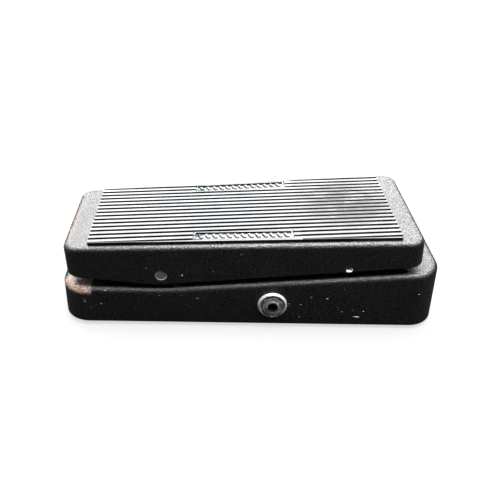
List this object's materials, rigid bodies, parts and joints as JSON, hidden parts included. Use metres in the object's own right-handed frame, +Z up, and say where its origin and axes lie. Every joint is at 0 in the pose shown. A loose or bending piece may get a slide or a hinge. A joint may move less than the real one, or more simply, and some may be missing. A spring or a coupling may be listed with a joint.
{
  "type": "volume pedal",
  "caption": "Rocker volume pedal: ribbed rubber treadle on a tapered cast base, driving a potentiometer by rack and pinion, with a plug socket in each side.",
  "frame": {"origin": "on the floor, under the middle of the pedal's bounding box", "axes": "+X from the heel end to the toe end, +Z up, -Y towards the player's right hand side, which has the input socket"},
  "size_m": [0.254, 0.1, 0.0701],
  "materials": {
    "black_casting": "matte",
    "tread_rubber": "satin",
    "foot_rubber": "matte",
    "plated_plate": "satin",
    "nickel": "polished",
    "steel": "satin",
    "nylon": "satin",
    "brass": "satin",
    "fibre_board": "matte",
    "wire_yellow": "satin",
    "wire_green": "satin",
    "wire_black": "satin"
  },
  "bodies": {
    "base": {"base_shell": "black_casting", "bottom_plate": "plated_plate", "foot_screws": "steel", "rubber_foot_heel_near": "foot_rubber", "rubber_foot_heel_far": "foot_rubber", "rubber_foot_toe_near": "foot_rubber", "rubber_foot_toe_far": "foot_rubber", "heel_bumpers": "foot_rubber", "toe_bumpers": "foot_rubber", "pivot_bracket_near": "steel", "pivot_bracket_far": "steel", "pivot_bracket_screws": "steel", "pivot_bushing_near": "nylon", "pivot_bushing_far": "nylon", "tension_pad": "nylon", "tension_screw": "steel", "tension_lock_nut": "steel", "rack_guide": "nylon", "rack_guide_screws": "steel", "rack_spring": "steel", "pot_body": "steel", "pot_bushing": "brass", "pot_washer": "steel", "pot_nut": "steel", "pot_terminal_board": "fibre_board", "pot_lugs": "steel", "pot_bracket": "steel", "pot_bracket_screws": "steel", "hookup_wire_input": "wire_yellow", "hookup_wire_output": "wire_green", "hookup_wire_common": "wire_black", "pot_case_strap": "steel", "input_jack_bushing": "nickel", "input_jack_washer": "nickel", "input_jack_nut": "nickel", "input_jack_frame": "steel", "input_jack_insulators": "fibre_board", "input_jack_contact": "steel", "input_jack_rivets": "brass", "output_jack_bushing": "nickel", "output_jack_washer": "nickel", "output_jack_nut": "nickel", "output_jack_frame": "steel", "output_jack_insulators": "fibre_board", "output_jack_contact": "steel", "output_jack_rivets": "brass"},
    "treadle": {"treadle_shell": "black_casting", "tread_pad": "tread_rubber", "pivot_rod": "steel", "pivot_rod_clips": "steel", "rack_pin": "steel", "rack_pin_clips": "steel"},
    "rack": {"rack": "nylon"},
    "potentiometer_shaft": {"pinion": "brass", "pinion_set_screw": "steel", "pot_shaft": "brass"}
  },
  "joints": [
    {"name": "treadle_tilt", "type": "hinge", "parent": "base", "child": "treadle", "pos_m": [-0.0587, 0, 0.0404], "axis": [0, -1, 0], "range_deg": [-1.5, 8]},
    {"name": "rack_lift", "type": "slide", "parent": "base", "child": "rack", "axis": [0, 0, 1], "range_m": [-0.0035, 0.0172]},
    {"name": "pinion_turn", "type": "hinge", "parent": "base", "child": "potentiometer_shaft", "pos_m": [0.0746, 0, 0.0295], "axis": [0, 1, 0], "range_deg": [-24, 122]}
  ],
  "couplings": [
    {"joint": "rack_lift", "follows": "treadle_tilt", "m_per_rad": 0.1201},
    {"joint": "pinion_turn", "follows": "treadle_tilt", "ratio": 15.012}
  ]
}
